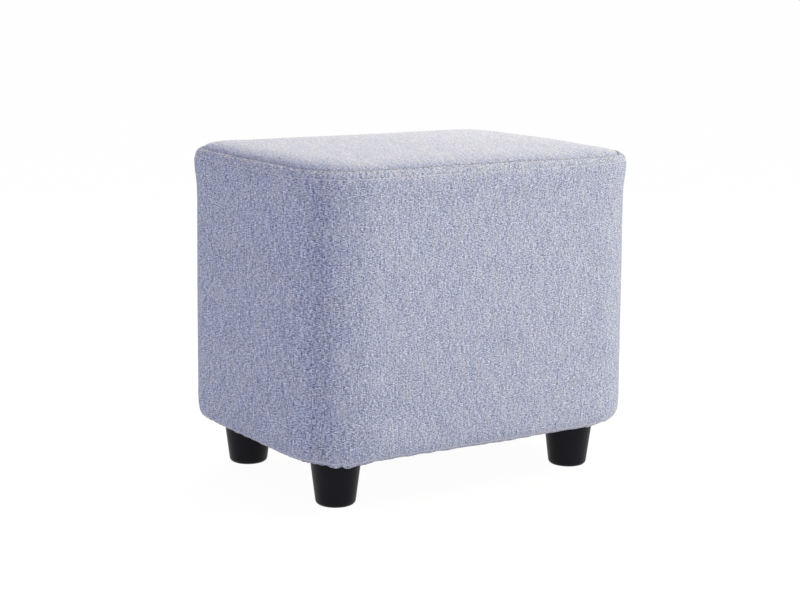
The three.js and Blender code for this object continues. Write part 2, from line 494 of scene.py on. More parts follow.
@dataclass(frozen=True)
class MouldedPlastic:
    """Satin black plastic with a fine moulded grain."""

    name: str = "satin_black_plastic"
    colour: Colour = (0.0055, 0.0050, 0.0092)
    rubbed: Colour = (0.0078, 0.0072, 0.0122)
    rub_start: float = 0.45
    rub_gain: float = 2.2
    roughness: float = 0.36
    clouding: float = 0.12
    cloud: float = 22 * MM
    grain: float = 0.6 * MM
    grain_depth: float = 0.05 * MM

    def material(self) -> bpy.types.Material:
        """Make the material."""
        material, nodes, shader = new_material(self.name)
        place = nodes.add("ShaderNodeTexCoord").outputs["Object"]
        cloud = nodes.noise(place, 1 / self.cloud, 3.0)
        grain = nodes.noise(place, 1 / self.grain, 2.0)
        rub = ((cloud - self.rub_start) * self.rub_gain).kept()
        nodes.feed(shader.inputs["Base Color"], nodes.mixed(rub, self.colour, self.rubbed))
        nodes.feed(shader.inputs["Roughness"], self.roughness + cloud * self.clouding)
        shader.inputs["Specular IOR Level"].default_value = 0.13
        bump = nodes.add(
            "ShaderNodeBump", None, {"Strength": 0.25, "Distance": self.grain_depth, "Height": grain}
        )
        nodes.feed(shader.inputs["Normal"], bump.outputs[0])
        return material


@dataclass(frozen=True)
class Fibreboard:
    """Unpainted brown fibreboard."""

    name: str = "bare_fibreboard"
    light: Colour = (0.40, 0.27, 0.16)
    dark: Colour = (0.25, 0.155, 0.085)
    fibre: float = 0.8 * MM
    fibre_stretch: float = 0.35
    fibre_depth: float = 0.15 * MM
    cloud: float = 35 * MM

    def material(self) -> bpy.types.Material:
        """Make the material."""
        material, nodes, shader = new_material(self.name)
        place = nodes.add("ShaderNodeTexCoord").outputs["Object"]
        axes = nodes.add("ShaderNodeSeparateXYZ", None, {0: place})
        stretched = nodes.point(
            nodes.amount(axes, 0) * self.fibre_stretch, nodes.amount(axes, 1), nodes.amount(axes, 2)
        )
        fibres = nodes.noise(stretched, 1 / self.fibre, 4.0, 0.65)
        clouds = nodes.noise(place, 1 / self.cloud, 2.0)
        share = (fibres * 0.7 + clouds * 0.5 - 0.1).kept()
        nodes.feed(shader.inputs["Base Color"], nodes.mixed(share, self.light, self.dark))
        bump = nodes.add(
            "ShaderNodeBump", None, {"Strength": 0.4, "Distance": self.fibre_depth, "Height": fibres}
        )
        nodes.feed(shader.inputs["Normal"], bump.outputs[0])
        shader.inputs["Roughness"].default_value = 0.85
        return material


# ---------------------------------------------------------------------------
# The cover's shape
# ---------------------------------------------------------------------------


@dataclass(frozen=True)
class Scallop:
    """One lobe of the gathered hem: degrees along its corner's arc, and how far it hangs down."""

    start: float
    end: float
    drop: float


@dataclass(frozen=True)
class Corner:
    """An upright corner of the stool.

    ridge is how far the sewn edge stands out there, rise how much fuller or flatter than the rest
    the top is, and lift how far the hem is drawn up. plump is how far the top's shoulder swells
    along the side that follows, anticlockwise.
    """

    x: int
    y: int
    ridge: float
    rise: float
    lift: float
    plump: float
    scallops: tuple[Scallop, ...]


CORNERS = {
    "front_left": Corner(-1, -1, 2.2 * MM, 0, 0, 2.0 * MM, (
        Scallop(12, 30, 1.2 * MM), Scallop(30, 46, 2.2 * MM), Scallop(46, 59, 3.9 * MM),
        Scallop(59, 73, 4.2 * MM), Scallop(73, 90, 1 * MM))),
    "front_right": Corner(1, -1, 2.6 * MM, -1.6 * MM, 4.0 * MM, 0, (
        Scallop(10, 36, 1.2 * MM), Scallop(36, 58, 1.6 * MM), Scallop(58, 82, 1.1 * MM))),
    "back_right": Corner(1, 1, 2.2 * MM, -0.4 * MM, 0.8 * MM, 0, (
        Scallop(8, 30, 1.5 * MM), Scallop(30, 54, 2 * MM), Scallop(54, 80, 1.3 * MM))),
    "back_left": Corner(-1, 1, 2.6 * MM, 0.8 * MM, 0.6 * MM, 5.2 * MM, (
        Scallop(14, 38, 1.3 * MM), Scallop(38, 60, 1.8 * MM), Scallop(60, 84, 1.4 * MM))),
}


@dataclass(frozen=True)
class Section:
    """One level of the side band, in millimetres and shares.

    z is its height and inset how far it is in from the side's own line. ridge, rise and gather
    are its shares of the sewn edge's stand-out, the corners' fullness and the hem's scallops.
    """

    z: float
    inset: float
    ridge: float = 0
    rise: float = 0
    gather: float = 0


BAND_SECTIONS = (
    Section(333.2, 3.5, 0.3, 0.8), Section(330.8, 1.7, 0.5, 0.5), Section(327.4, 0.5, 0.85, 0.2),
    Section(323, 0, 1), Section(317, 0, 0.92), Section(311, 0, 0.72),
    Section(305, 0, 0.4), Section(298, 0, 0.14), Section(286, 0), Section(258, 0),
    Section(230, 0), Section(200, 0), Section(170, 0), Section(140, 0), Section(110, 0),
    Section(90, 0, 0, 0, 0.02), Section(74, 0, 0, 0, 0.1), Section(63, 0.9, 0, 0, 0.4),
    Section(56.6, 2.8, 0, 0, 0.8), Section(53.2, 6, 0, 0, 1), Section(52.6, 10, 0, 0, 0.9),
    Section(53.5, 16, 0, 0, 0.5), Section(54.6, 20),
)


@dataclass(frozen=True)
class Walk:
    """Values at each step round the stool, anticlockwise from the middle of the back.

    cloth is the place on the flat cloth, which is pulled longer round the short sides.
    """

    along: Array
    at: Array
    out: Array
    bow: Array
    ridge: Array
    rise: Array
    drop: Array
    plump: Array
    cloth: Array


@dataclass(frozen=True)
class Waves:
    """Smooth uneven waves round the stool, between two lengths, with seeded phases."""

    shortest: float
    longest: float
    seed: int
    trains: int = 14

    def at(self, along: Array, length: float) -> Array:
        """Read the waves, which meet themselves after one round.

        Args:
            along: The places to read.
            length: The length of one round.

        Returns:
            The waves, about 1 high.
        """
        chance = np.random.default_rng(self.seed)
        most, fewest = length / self.shortest, length / self.longest
        counts = np.unique(np.linspace(fewest, most, self.trains).round())
        total = np.zeros_like(along)
        for count in counts:
            phase = chance.uniform(0, 2 * math.pi)
            total += chance.uniform(0.6, 1.0) * np.sin(2 * math.pi * count * along / length + phase)
        return total / math.sqrt(len(counts))


def hollow(distance: Array, width: float) -> Array:
    """Return a soft bell, 1 at no distance."""
    return np.exp(-((distance / width) ** 2))


@dataclass
class CoverForm:
    """The cover's outer shape: its plan, its crown and its sections."""

    half_length: float
    half_depth: float
    height: float
    corner_radius: float = 68 * MM
    side_lean: float = 1.9 * MM
    long_bow: float = 1.5 * MM
    short_bow: float = 1.0 * MM
    mid_ridge: float = 1.6 * MM
    edge_height: float = 332.2 * MM
    shoulder_rise: float = 4.2 * MM
    shoulder_width: float = 45.6 * MM
    shoulder_power: float = 1.88
    crown_power: float = 2.03
    hem_height: float = 52.6 * MM
    seam_inset: float = 6 * MM
    seam_ridge: float = 0.2
    plump_edge: float = 7 * MM
    plump_reach: float = 46 * MM
    short_stretch: float = 0.5
    notch_share: float = 0.38
    notch_width: float = 2.2

    @property
    def arc(self) -> float:
        """The length of one corner's arc."""
        return self.corner_radius * math.pi / 2

    def corner_start(self, name: str) -> float:
        """Return how far round the stool, from the middle of the back, a corner's arc starts."""
        long_run = 2 * (self.half_length - self.corner_radius)
        short_run = 2 * (self.half_depth - self.corner_radius)
        index = (list(CORNERS).index(name) + 1) % len(CORNERS)
        return long_run * (0.5 + index // 2) + short_run * ((index + 1) // 2) + index * self.arc

    def near_corners(self, along: Array, reach: float) -> Array:
        """Return 1 on the corners' arcs, falling to 0 at a distance along the runs between them."""
        share = np.zeros_like(along)
        for name in CORNERS:
            from_middle = along - self.corner_start(name) - self.arc / 2
            outside = np.maximum(np.abs(from_middle) - self.arc / 2, 0)
            share = np.maximum(share, hollow(outside, reach))
        return share

    @property
    def round_length(self) -> float:
        """The length of the whole outline."""
        return 4 * self.arc + 4 * (self.half_length + self.half_depth - 2 * self.corner_radius)

    def top_height(self, inset: Array | float) -> Array:
        """Return the height of the top at a distance in from its edge."""
        inset = np.asarray(inset, float)
        shoulder = 1 - np.maximum(0, 1 - inset / self.shoulder_width) ** self.shoulder_power
        crown = 1 - np.maximum(0, 1 - inset / self.half_depth) ** self.crown_power
        crown_rise = self.height - self.edge_height - self.shoulder_rise
        return (
            self.edge_height
            + self.shoulder_rise * shoulder ** (1 / self.shoulder_power)
            + crown_rise * crown
        )

    def swell(self, inward: Array | float) -> Array:
        """Return the share of a plump shoulder's swelling at a distance in from the seam."""
        inward = np.maximum(np.asarray(inward, float), 0)
        return (1 - np.exp(-inward / self.plump_edge)) * hollow(inward, self.plump_reach)

    def _scallop_drop(self, corner: Corner, degrees: Array) -> Array:
        """Return how far the hem hangs down at angles along a corner's arc."""
        lobes = corner.scallops
        middles = [(lobe.start + lobe.end) / 2 for lobe in lobes]
        places = [lobes[0].start, *middles, lobes[-1].end]
        drop = np.interp(degrees, places, [0, *(lobe.drop for lobe in lobes), 0])
        for before, after in zip(lobes, lobes[1:]):
            notch = self.notch_share * min(before.drop, after.drop)
            drop -= notch * hollow(degrees - before.end, self.notch_width)
        return drop - corner.lift * np.sin(np.radians(2 * degrees))

    def walk(self, columns: int) -> Walk:
        """Walk round the stool at the hem's size.

        Args:
            columns: The number of steps.

        Returns:
            The values at each step.
        """
        runs = [2 * (self.half_length - self.corner_radius), 2 * (self.half_depth - self.corner_radius)]
        start = 3 * self.arc + runs[0] * 1.5 + runs[1]
        along = np.arange(columns) * self.round_length / columns
        place = (along + start) % self.round_length
        plain = (np.zeros(columns) for _ in range(6))
        walk = Walk(along, np.zeros((columns, 2)), np.zeros((columns, 2)), *plain)
        begin = 0.0
        for index in range(len(CORNERS)):
            here = (place >= begin) & (place < begin + self.arc)
            self._round_corner(walk, here, index, (place[here] - begin) / self.corner_radius)
            begin += self.arc
            run = runs[index % 2]
            here = (place >= begin) & (place < begin + run)
            self._along_run(walk, here, index, place[here] - begin, run)
            begin += run
        pace = 1 - (1 - self.short_stretch) * walk.out[:, 0] ** 2
        walk.cloth[:] = np.cumsum(pace) * self.round_length / columns
        return walk

    def _corner_centre(self, corner: Corner) -> Array:
        """Return the centre of a corner's arc in plan."""
        return np.array([
            corner.x * (self.half_length - self.corner_radius),
            corner.y * (self.half_depth - self.corner_radius),
        ])

    def _round_corner(self, walk: Walk, here: Array, index: int, turned: Array) -> None:
        """Fill in the steps round one corner.

        Args:
            walk: The values to fill in.
            here: Which steps lie on the corner's arc.
            index: The corner's place in the row of corners.
            turned: The angle from the arc's start to each step.
        """
        corners = list(CORNERS.values())
        corner, before = corners[index], corners[index - 1]
        angle = math.pi * (1 + index / 2) + turned
        walk.out[here] = np.stack([np.cos(angle), np.sin(angle)], 1)
        walk.at[here] = self._corner_centre(corner) + walk.out[here] * self.corner_radius
        walk.ridge[here], walk.rise[here] = corner.ridge, corner.rise
        walk.drop[here] = self._scallop_drop(corner, np.degrees(turned))
        share = turned / (math.pi / 2)
        eased = share**2 * (3 - 2 * share)
        walk.plump[here] = before.plump + (corner.plump - before.plump) * eased

    def _along_run(self, walk: Walk, here: Array, index: int, gone: Array, run: float) -> None:
        """Fill in the steps along the straight side after one corner.

        Args:
            walk: The values to fill in.
            here: Which steps lie on the side.
            index: The corner's place in the row of corners.
            gone: The distance from the side's start to each step.
            run: The side's length.
        """
        corners = list(CORNERS.values())
        corner, following = corners[index], corners[(index + 1) % len(corners)]
        share = gone / run
        weight = np.sin(math.pi * share) ** 2
        turn = math.pi * (1.5 + index / 2)
        facing = np.array([math.cos(turn), math.sin(turn)])
        ahead = np.array([-facing[1], facing[0]])
        walk.out[here] = facing
        centre = self._corner_centre(corner)
        walk.at[here] = centre + facing * self.corner_radius + ahead * (run * share)[:, None]
        walk.bow[here] = (self.short_bow if index % 2 else self.long_bow) * weight
        ridge = corner.ridge + (following.ridge - corner.ridge) * share
        walk.ridge[here] = (1 - weight) * ridge + weight * self.mid_ridge
        walk.rise[here] = (1 - weight) * (corner.rise + (following.rise - corner.rise) * share)
        walk.plump[here] = corner.plump

    def ring(
        self, walk: Walk, z: float, inset: float, ridge: float = 0, rise: float = 0, gather: float = 0
    ) -> Array:
        """Return one ring of points round the stool.

        Args:
            walk: The steps round it.
            z: The ring's height.
            inset: How far it is in from the side's line.
            ridge: Its share of the sewn edge's stand-out.
            rise: Its share of the corners' fullness.
            gather: Its share of the hem's scallops.

        Returns:
            The points.
        """
        rising = (z - self.hem_height) / (self.edge_height - self.hem_height)
        lean = self.side_lean * min(max(rising, 0), 1)
        outwards = walk.bow + walk.ridge * ridge - inset - lean
        plan = walk.at + walk.out * outwards[:, None]
        return np.column_stack([plan, z + walk.rise * rise - walk.drop * gather])


def facing_out(points: Array) -> Array:
    """Return the outward normals of rings that run downwards and round anticlockwise."""
    round_step = np.roll(points, -1, 1) - np.roll(points, 1, 1)
    down_step = np.gradient(points, axis=0)
    normals = np.cross(down_step, round_step)
    return normals / np.maximum(np.linalg.norm(normals, axis=2, keepdims=True), 1e-12)


def closed_rings(name: str, points: Array, cloth: Array, first: Vector, last: Vector) -> bpy.types.Object:
    """Build a closed body from rings, each end drawn to a point.

    Args:
        name: The piece's name.
        points: Rings of points, from the top of the profile to its end.
        cloth: The cloth map's places, with one more column than the rings.
        first: The point that closes the first ring.
        last: The point that closes the last ring.

    Returns:
        The piece.
    """
    rings, columns, _ = points.shape
    corners = np.arange(rings * columns).reshape(rings, columns)
    following = np.roll(corners, -1, 1)
    quads = np.stack([corners[:-1], corners[1:], following[1:], following[:-1]], -1).reshape(-1, 4)
    top, bottom = rings * columns, rings * columns + 1
    faces = quads.tolist()
    faces += [[top, a, b] for a, b in zip(corners[0], following[0])]
    faces += [[bottom, b, a] for a, b in zip(corners[-1], following[-1])]
    mesh = bpy.data.meshes.new(name)
    mesh.from_pydata([*points.reshape(-1, 3).tolist(), tuple(first), tuple(last)], [], faces)
    here, ahead = cloth[:, :-1], cloth[:, 1:]
    loops = np.stack([here[:-1], here[1:], ahead[1:], ahead[:-1]], 2).reshape(-1, 2)
    top_loops = np.stack([here[0], here[0], ahead[0]], 1).reshape(-1, 2)
    bottom_loops = np.stack([here[-1], ahead[-1], here[-1]], 1).reshape(-1, 2)
    places = np.concatenate([loops, top_loops, bottom_loops])
    mesh.uv_layers.new(name=CLOTH_MAP).uv.foreach_set("vector", places.astype(np.float32).ravel())
    mesh.shade_smooth()
    return put_in_scene(name, mesh)


def even_steps(spacing: Sequence[tuple[float, float]]) -> Array:
    """Return places along a profile.

    Args:
        spacing: Pairs of how far a stretch runs and the step in it.

    Returns:
        The places, from 0 to the end of the last stretch.
    """
    places, start = [np.array([0.0])], 0.0
    for end, step in spacing:
        count = max(1, round((end - start) / step))
        places.append(np.linspace(start, end, count + 1)[1:])
        start = end
    return np.concatenate(places)


def smooth_between(table: Array, places: Array) -> tuple[Array, Array]:
    """Run a smooth curve through a table's rows.

    Args:
        table: Rows whose first two columns are a height and an inset.
        places: Where to read it, as distances along the profile in shares of its length.

    Returns:
        The rows there, and the profile's length at each row.
    """
    steps = np.hypot(*np.diff(table[:, :2], axis=0).T)
    knots = np.concatenate([[0], np.cumsum(steps)])
    slopes = np.gradient(table, knots, axis=0)
    at = places * knots[-1]
    index = np.clip(np.searchsorted(knots, at, "right") - 1, 0, len(knots) - 2)
    width = knots[index + 1] - knots[index]
    t = ((at - knots[index]) / width)[:, None]
    w = width[:, None]
    rows = (
        (2 * t**3 - 3 * t**2 + 1) * table[index]
        + (t**3 - 2 * t**2 + t) * w * slopes[index]
        + (3 * t**2 - 2 * t**3) * table[index + 1]
        + (t**3 - t**2) * w * slopes[index + 1]
    )
    return rows, at


@dataclass(frozen=True)
class SewnRelief:
    """The relief of the sewn edge, the hem's gathers and the padding, pushed out along the cloth."""

    form: CoverForm
    seam_depth: float = 0.35 * MM
    seam_width: float = 1.1 * MM
    roll: float = 0.5 * MM
    roll_unevenness: float = 0.25
    roll_waves: Waves = Waves(30 * MM, 90 * MM, 3)
    stitch_place: float = 10.2 * MM
    stitch_depth: float = 0.55 * MM
    stitch_width: float = 1.3 * MM
    pucker: float = 0.3 * MM
    pucker_reach: float = 5.5 * MM
    pucker_waves: Waves = Waves(4.5 * MM, 11 * MM, 5)
    twist: float = 0.42 * MM
    twist_reach: float = 4 * MM
    twist_slant: float = 0.8
    twist_waves: Waves = Waves(3.6 * MM, 7 * MM, 6)
    level_crease: float = 0.16 * MM
    level_share: float = 0.6
    level_pitch: float = 4.3 * MM
    level_place: float = 24 * MM
    level_height: float = 15 * MM
    level_length: float = 34 * MM
    level_waves: Waves = Waves(15 * MM, 50 * MM, 23)
    fold_degrees: float = 38
    fold_depth: float = 0.6 * MM
    fold_width: float = 7 * MM
    fold_start: float = 14 * MM
    fold_fade: float = 40 * MM
    gather: float = 0.3 * MM
    gather_reach: float = 13 * MM
    gather_waves: Waves = Waves(9 * MM, 26 * MM, 8)
    upright_share: float = 0.5
    tuck_reach: float = 30 * MM
    tuck_waves: Waves = Waves(6 * MM, 14 * MM, 9)
    hem_start: float = 12 * MM
    hem_limit: float = 14 * MM
    hem_reach: float = 11 * MM
    hem_waves: Waves = Waves(16 * MM, 42 * MM, 10)
    hem_share: float = 1.2
    padding: float = 0.28 * MM
    swell_length: float = 170 * MM
    swell_share: float = 0.3
    slow_waves: Waves = Waves(90 * MM, 260 * MM, 13)
    slow_slant: float = 0.35
    slow_share: float = 0.6
    quick_waves: Waves = Waves(35 * MM, 90 * MM, 17)
    quick_slant: float = -0.5
    quick_share: float = 0.25

    def band(self, along: Array, down: Array, hem: float) -> Array:
        """Return the side band's relief.

        Args:
            along: Places round the stool.
            down: Distances from the seam down along the cloth.
            hem: The distance at which the cloth turns under.

        Returns:
            How far each place is pushed out.
        """
        return (
            self._sewn_edge(along, down)
            + self._level_creases(along, down)
            - self._upright_crease(along, down)
            + self._gathers(along, down, hem)
            + self._padding(along, down)
        )

    def crease_place(self) -> float:
        """Return how far round the stool the corner's upright crease lies."""
        start = self.form.corner_start("front_left")
        return start + self.form.corner_radius * math.radians(self.fold_degrees)

    def _read(self, waves: Waves, along: Array) -> Array:
        """Read waves that go once round the stool."""
        return waves.at(along, self.form.round_length)

    def _sewn_edge(self, along: Array, down: Array) -> Array:
        """Return the rolled edge between the seam and the row of stitches, and its puckers."""
        stitch = down - self.stitch_place
        rolled = self.roll * np.sin(math.pi * np.clip(down / self.stitch_place, 0, 1))
        uneven = 1 + self.roll_unevenness * self._read(self.roll_waves, along)
        dips = self.seam_depth * hollow(down, self.seam_width)
        dips += self.stitch_depth * hollow(stitch, self.stitch_width)
        puckers = self.pucker * self._read(self.pucker_waves, along)
        twists = self.twist * self._read(self.twist_waves, along + self.twist_slant * down)
        return (
            rolled * uneven
            - dips
            + puckers * np.exp(-np.abs(stitch) / self.pucker_reach)
            + twists * hollow(down - self.stitch_place / 2, self.twist_reach)
        )

    def _level_creases(self, along: Array, down: Array) -> Array:
        """Return the fine level creases below the seam at the front right corner."""
        corner = self.form.corner_start("front_right") + self.level_share * self.form.arc
        place = hollow(along - corner, self.level_length)
        place = place * hollow(down - self.level_place, self.level_height)
        phase = 2 * math.pi * down / self.level_pitch + self._read(self.level_waves, along)
        return self.level_crease * np.sin(phase) * place

    def _upright_crease(self, along: Array, down: Array) -> Array:
        """Return the depth of the upright crease at the front left corner."""
        fold = hollow(along - self.crease_place(), self.fold_width)
        return self.fold_depth * fold * np.clip((down - self.fold_start) / self.fold_fade, 0, 1)

    def _gathers(self, along: Array, down: Array, hem: float) -> Array:
        """Return the hem's gathers, with tucks near the corners and slower waves between them."""
        upright = self._read(self.gather_waves, along) * hollow(down - hem, self.gather_reach)
        above = np.maximum(hem + self.hem_start - down, 0)
        low = hollow(above, self.hem_reach) * (down > hem - self.hem_limit)
        tucks = self._read(self.tuck_waves, along) * self.form.near_corners(along, self.tuck_reach)
        waves = self._read(self.hem_waves, along)
        return self.gather * (self.upright_share * upright + (tucks + self.hem_share * waves) * low)

    def _padding(self, along: Array, down: Array) -> Array:
        """Return the slow unevenness of the padding under the cloth."""
        slow = self._read(self.slow_waves, along + self.slow_slant * down)
        quick = self._read(self.quick_waves, along + self.quick_slant * down)
        swell = np.cos(2 * math.pi * down / self.swell_length + 2 * slow)
        mixed = self.slow_share * slow + self.quick_share * quick + self.swell_share * swell
        return self.padding * mixed


# ---------------------------------------------------------------------------
# Pieces
# ---------------------------------------------------------------------------


def dress(piece: bpy.types.Object, material: bpy.types.Material, slot: Slot, *nodes: str) -> None:
    """Give a piece its material and its body, and hide the frame's nodes that it stands for.

    Args:
        piece: The piece.
        material: Its material.
        slot: The record's slot for it; not used.
        nodes: The frame's nodes that it stands for.
    """
    piece.data.materials.clear()
    piece.data.materials.append(material)
    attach(piece, STOOL_BODY)
    if nodes:
        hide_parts(*nodes)
    log.info("%s: %d faces", piece.name, len(piece.data.polygons))


@dataclass
class FittedCover:
    """The sewn cover and the padding that fills it: a top panel and a side band with its hem.

    rings and down are the band's rings, from the seam to the end of the hem, and how far down the
    cloth each one lies. pushed are the same rings with their relief.
    """

    form: CoverForm
    board_low: float
    board_high: float
    columns: int = 900
    gap: float = 0.3 * MM
    edge_depth: float = 3.0 * MM
    edge_inset: float = 1.0 * MM
    lip_depth: float = 1.9 * MM
    lip_inset: float = 0.7 * MM
    pocket_inset: float = 8.7 * MM
    hem_turn: float = 20 * MM
    panel_reach: float = 53 * MM
    panel_inset: float = 0.7 * MM
    panel_rounding: float = 1.3 * MM
    rounding_reach: float = 1.5 * MM
    middle_rings: int = 20
    middle_scales: tuple[float, float] = (0.95, 0.03)
    turned_depth: float = 2.6 * MM
    turned_insets: tuple[float, float] = (1.1 * MM, 1.6 * MM)
    dip_depth: float = 0.35 * MM
    dip_reach: float = 20 * MM
    pucker: float = 0.13 * MM
    pucker_reach: float = 5 * MM
    pucker_waves: Waves = Waves(6 * MM, 14 * MM, 21)
    turn_height: float = 72 * MM
    turn_slope: float = 0.5
    crease_shift: float = 4 * MM
    relief: SewnRelief = field(init=False)
    walk: Walk = field(init=False)
    seam: float = field(init=False)
    rings: Array = field(init=False)
    down: Array = field(init=False)
    pushed: Array = field(init=False)

    def __post_init__(self) -> None:
        """Walk round the stool and lay the band's rings."""
        self.relief = SewnRelief(self.form)
        self.walk = self.form.walk(self.columns)
        self.seam = float(self.form.top_height(self.form.seam_inset))
        self.rings, self.down = self._band_rings()
        along = np.broadcast_to(self.walk.along, self.rings.shape[:2])
        below = np.broadcast_to(self.down[:, None], self.rings.shape[:2])
        relief = self.relief.band(along, below, self.down[-1] - self.hem_turn)
        self.pushed = self.rings + facing_out(self.rings) * relief[..., None]

    def _band_rings(self) -> tuple[Array, Array]:
        """Return the band's outer rings from the seam to the end of the hem, and their distances."""
        form = self.form
        table = np.array(
            [[self.seam / MM, form.seam_inset / MM, form.seam_ridge, 1, 0]]
            + [[s.z, s.inset, s.ridge, s.rise, s.gather] for s in BAND_SECTIONS]
        )
        total = float(np.hypot(*np.diff(table[:, :2], axis=0).T).sum())
        # Close rows at the sewn edge and the hem, wide ones down the side.
        places = even_steps(((17, 0.8), (30, 1.7), (total - 44, 8.5), (total, 1.35)))
        rows, at = smooth_between(table, places / total)
        rings = [
            form.ring(self.walk, z * MM, inset * MM, ridge, rise, gather)
            for z, inset, ridge, rise, gather in rows
        ]
        return np.array(rings), at * MM

    def crease(self) -> float:
        """Return where the corner's upright crease lies on the flat cloth."""
        place = self.relief.crease_place() + self.crease_shift
        return float(np.interp(place, self.walk.along, self.walk.cloth))

    def hem_fold(self) -> float:
        """Return how far down the cloth the hem starts to turn under."""
        profile = self.rings[:, 0]
        inward = np.linalg.norm(profile[0, :2]) - np.linalg.norm(profile[:, :2], axis=1)
        turning = np.gradient(inward) / np.gradient(-profile[:, 2])
        low = (profile[:, 2] < self.turn_height) & (turning > self.turn_slope)
        return float(self.down[np.argmax(low)])

    def stitch_line(self) -> tuple[Array, Array]:
        """Return the points and outward normals of the topstitching."""
        row = int(np.argmin(np.abs(self.down - self.relief.stitch_place)))
        return self.pushed[row], facing_out(self.rings)[row]

    def _cloth_places(self, down: Array) -> Array:
        """Return the cloth map of rings at distances down the cloth, closed by one more column."""
        cloth = self.walk.cloth
        along = np.append(cloth, 2 * cloth[-1] - cloth[-2])
        return np.stack(np.meshgrid(along, down), -1)

    def side_band(self) -> bpy.types.Object:
        """Build the side band: rolled edge, sides, gathered hem and the seat of the board."""
        form, walk, down = self.form, self.walk, self.down
        allowance = [
            form.ring(walk, self.seam - depth, form.seam_inset + inset, form.seam_ridge, 1)
            for depth, inset in ((self.edge_depth, self.edge_inset), (self.lip_depth, self.lip_inset))
        ]
        turn = BAND_SECTIONS[-1].inset * MM
        seat = [
            form.ring(walk, self.board_low - self.gap, turn),
            form.ring(walk, self.board_low - self.gap, self.pocket_inset),
            form.ring(walk, self.board_high + self.gap, self.pocket_inset),
        ]
        points = np.array([*allowance, *self.pushed, *seat])
        in_seam = down[0] - np.array([2.0, 1.0]) * MM
        under_board = down[-1] + np.array([4.0, 15.0, 27.0]) * MM
        cloth = self._cloth_places(np.concatenate([in_seam, down, under_board]))
        first = Vector((0, 0, self.seam - self.edge_depth))
        last = Vector((0, 0, self.board_high + self.gap))
        return closed_rings("cover_side_band", points, cloth, first, last)

    def _panel_rings(self) -> tuple[Array, Array]:
        """Lay the top panel's rings from the middle out to the seam.

        Returns:
            The rings, and how far in from the seam each one is, endlessly far in the middle.
        """
        form, walk = self.form, self.walk
        inward = even_steps(((8, 0.8), (26, 2.0), (self.panel_reach / MM, 5.0))) * MM
        insets = form.seam_inset + self.panel_inset + inward
        rounding = self.panel_rounding * np.exp(-(inward / self.rounding_reach))
        rings = [
            form.ring(walk, float(z), float(inset), rise=(1 - inset / form.half_depth) ** 2)
            for inset, z in zip(insets, form.top_height(insets) - rounding)
        ]
        # The middle's rings are the last of these drawn in, on the same crown.
        rim = rings[-1]
        scales = np.linspace(*self.middle_scales, self.middle_rings)
        left = (form.half_depth - float(insets[-1])) * scales
        for scale, rest in zip(scales, left):
            ring = rim.copy()
            ring[:, :2] *= scale
            height = float(form.top_height(form.half_depth - rest))
            ring[:, 2] = height + walk.rise * (rest / form.half_depth) ** 2
            rings.append(ring)
        reached = np.concatenate([insets, form.half_depth - left])
        surface = np.array(rings[::-1])
        surface[..., 2] += form.swell(reached[::-1, None] - form.seam_inset) * walk.plump
        out_of_reach = np.full(self.middle_rings, np.inf)
        return surface, np.concatenate([inward, out_of_reach])[::-1]

    def top_panel(self) -> bpy.types.Object:
        """Build the crowned top panel, its edge turned down into the seam."""
        surface, inward = self._panel_rings()
        relief = self._panel_relief(surface[..., :2], inward)
        surface = surface + facing_out(surface) * relief[..., None]
        edge = [
            self.form.ring(self.walk, self.seam - depth, self.form.seam_inset + inset, rise=1)
            for depth, inset in zip((self.lip_depth, self.turned_depth), self.turned_insets)
        ]
        points = np.array([*surface, *edge])
        closed = np.concatenate([points, points[:, :1]], 1)
        first = Vector((0, 0, float(surface[0, :, 2].mean())))
        last = Vector((0, 0, self.seam - self.turned_depth))
        return closed_rings("cover_top_panel", points, closed[..., :2], first, last)

    def _panel_relief(self, plan: Array, inward: Array) -> Array:
        """Return the top panel's relief.

        Args:
            plan: The rings' places in plan.
            inward: Each ring's distance in from the seam.

        Returns:
            How far each place is pushed out.
        """
        x, y = plan[..., 0], plan[..., 1]
        # Slow dips in rows that bend, so that they don't line up with the sides.
        dips = np.sin(x / (31 * MM) + 1.3 * np.sin(y / (47 * MM))) * np.cos(y / (38 * MM) + 0.7)
        puckers = self.pucker_waves.at(self.walk.along, self.form.round_length)
        near = np.exp(-inward / self.pucker_reach)[:, None]
        away = 1 - np.exp(-inward / self.dip_reach)[:, None]
        return self.dip_depth * dips * away + self.pucker * puckers * near


Sizes = dict[str, float | int]


def start_tree(name: str, given: str, sizes: Sizes, made: str) -> tuple[NodeMaker, bpy.types.Node]:
    """Start a Geometry Nodes tree.

    Args:
        name: Its name.
        given: What its geometry input is called.
        sizes: Its other inputs, by name; a whole number makes a whole-number input.
        made: What its output is called.

    Returns:
        The tree's maker and its group input.
    """
    tree = bpy.data.node_groups.new(name, "GeometryNodeTree")
    tree.interface.new_socket(given, in_out="INPUT", socket_type="NodeSocketGeometry")
    for size, value in sizes.items():
        kind = "NodeSocketInt" if isinstance(value, int) else "NodeSocketFloat"
        tree.interface.new_socket(size, in_out="INPUT", socket_type=kind)
    tree.interface.new_socket(made, in_out="OUTPUT", socket_type="NodeSocketGeometry")
    nodes = NodeMaker(tree)
    return nodes, nodes.add("NodeGroupInput")


def end_tree(nodes: NodeMaker, made: bpy.types.NodeSocket, material: bpy.types.Material) -> None:
    """End a Geometry Nodes tree in real, smooth geometry with its material."""
    real = nodes.add("GeometryNodeRealizeInstances", None, {0: made})
    smooth = nodes.add("GeometryNodeSetShadeSmooth", None, {0: real.outputs[0]})
    finished = nodes.add("GeometryNodeSetMaterial", None, {0: smooth.outputs[0], "Material": material})
    nodes.add("NodeGroupOutput", None, {0: finished.outputs[0]})


